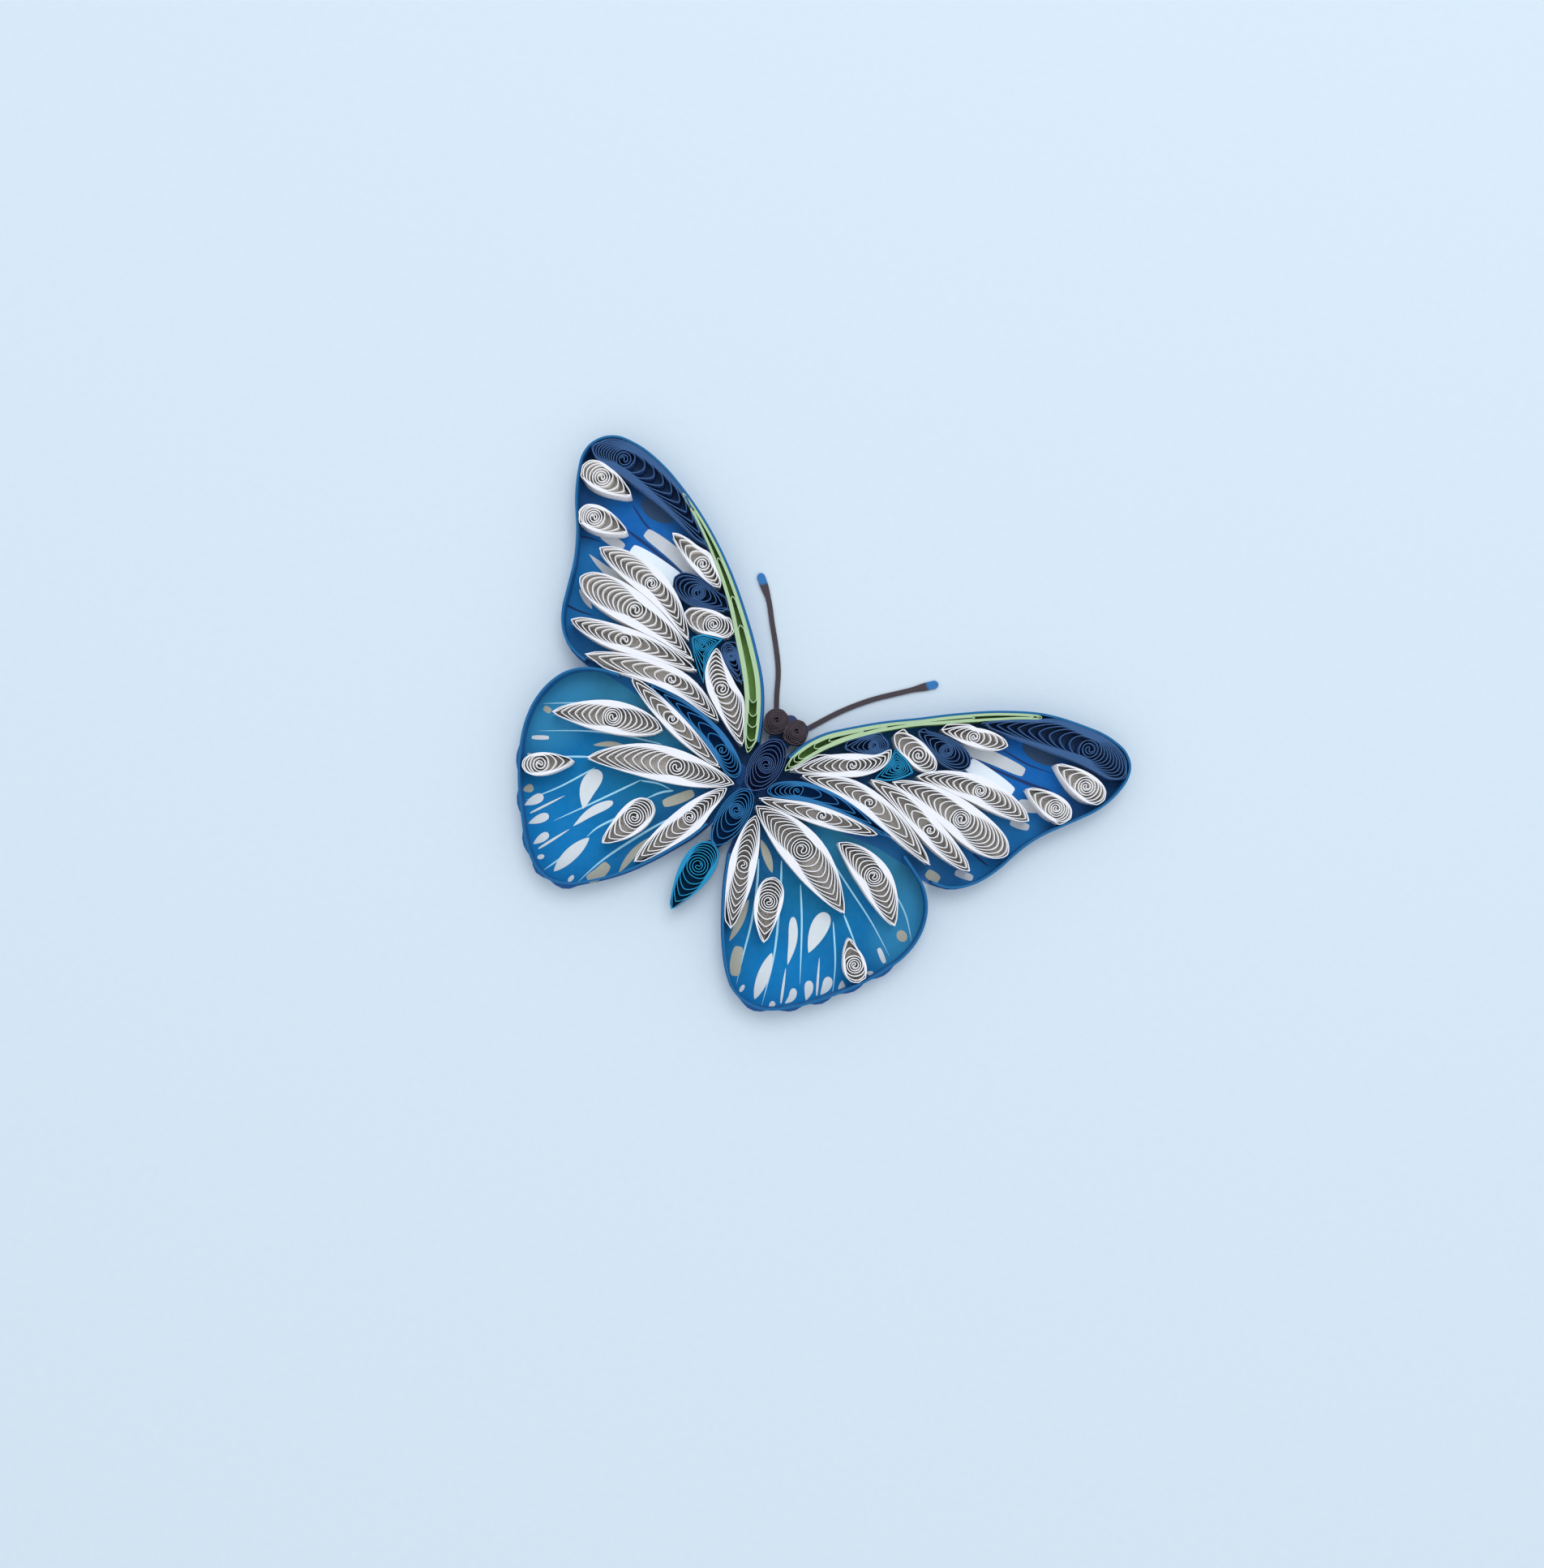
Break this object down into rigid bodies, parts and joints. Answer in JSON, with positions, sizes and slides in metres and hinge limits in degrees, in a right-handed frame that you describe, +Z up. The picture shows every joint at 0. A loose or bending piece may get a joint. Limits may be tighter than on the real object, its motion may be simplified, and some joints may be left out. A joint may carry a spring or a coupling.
{
  "type": "quilled paper butterfly",
  "caption": "Flat butterfly of printed card with rolled paper-strip coils standing on edge inside raised wing rims, with a coiled body and card antennae.",
  "frame": {"origin": "underside of the card, below the middle of the thorax", "axes": "+Z up out of the card, +Y along the body towards the head, +X towards the right wing's tip"},
  "size_m": [0.0933, 0.062, 0.0037],
  "materials": {
    "printed_card": "blue-printed card, matt",
    "rim_blue": "matt paper",
    "white": "matt paper",
    "navy": "matt paper",
    "indigo": "matt paper",
    "blue": "matt paper",
    "teal": "matt paper",
    "green": "matt paper",
    "plum": "matt paper"
  },
  "bodies": {
    "root": {"printed_base": "printed_card", "left_forewing_rim": "rim_blue", "left_hindwing_rim": "rim_blue", "right_forewing_rim": "rim_blue", "right_hindwing_rim": "rim_blue", "left_forewing_navy_tip": "navy", "left_forewing_margin_upper": "white", "left_forewing_margin_lower": "white", "left_forewing_white_costal": "white", "left_forewing_navy_oval": "navy", "left_forewing_white_oval": "white", "left_forewing_navy_teardrop": "navy", "left_forewing_white_root": "white", "left_forewing_white_upper": "white", "left_forewing_white_largest": "white", "left_forewing_white_lower": "white", "left_forewing_white_long": "white", "left_forewing_green_costal": "green", "left_hindwing_blue_marquise": "blue", "left_hindwing_white_upper": "white", "left_hindwing_white_oval": "white", "left_hindwing_white_big": "white", "left_hindwing_inner_edge": "white", "left_hindwing_inner_teardrop": "white", "left_hindwing_rim_teardrop": "white", "right_forewing_navy_tip": "navy", "right_forewing_margin_upper": "white", "right_forewing_margin_lower": "white", "right_forewing_white_costal": "white", "right_forewing_navy_oval": "navy", "right_forewing_white_oval": "white", "right_forewing_navy_teardrop": "navy", "right_forewing_white_root": "white", "right_forewing_white_upper": "white", "right_forewing_white_largest": "white", "right_forewing_white_lower": "white", "right_forewing_white_long": "white", "right_forewing_green_costal": "green", "right_hindwing_blue_marquise": "blue", "right_hindwing_white_upper": "white", "right_hindwing_white_oval": "white", "right_hindwing_white_big": "white", "right_hindwing_inner_edge": "white", "right_hindwing_inner_teardrop": "white", "right_hindwing_rim_teardrop": "white", "thorax": "indigo", "abdomen": "blue", "tail": "teal", "left_head_coil": "plum", "right_head_coil": "plum", "left_forewing_teal_triangle": "teal", "right_forewing_teal_triangle": "teal"}
  },
  "joints": []
}
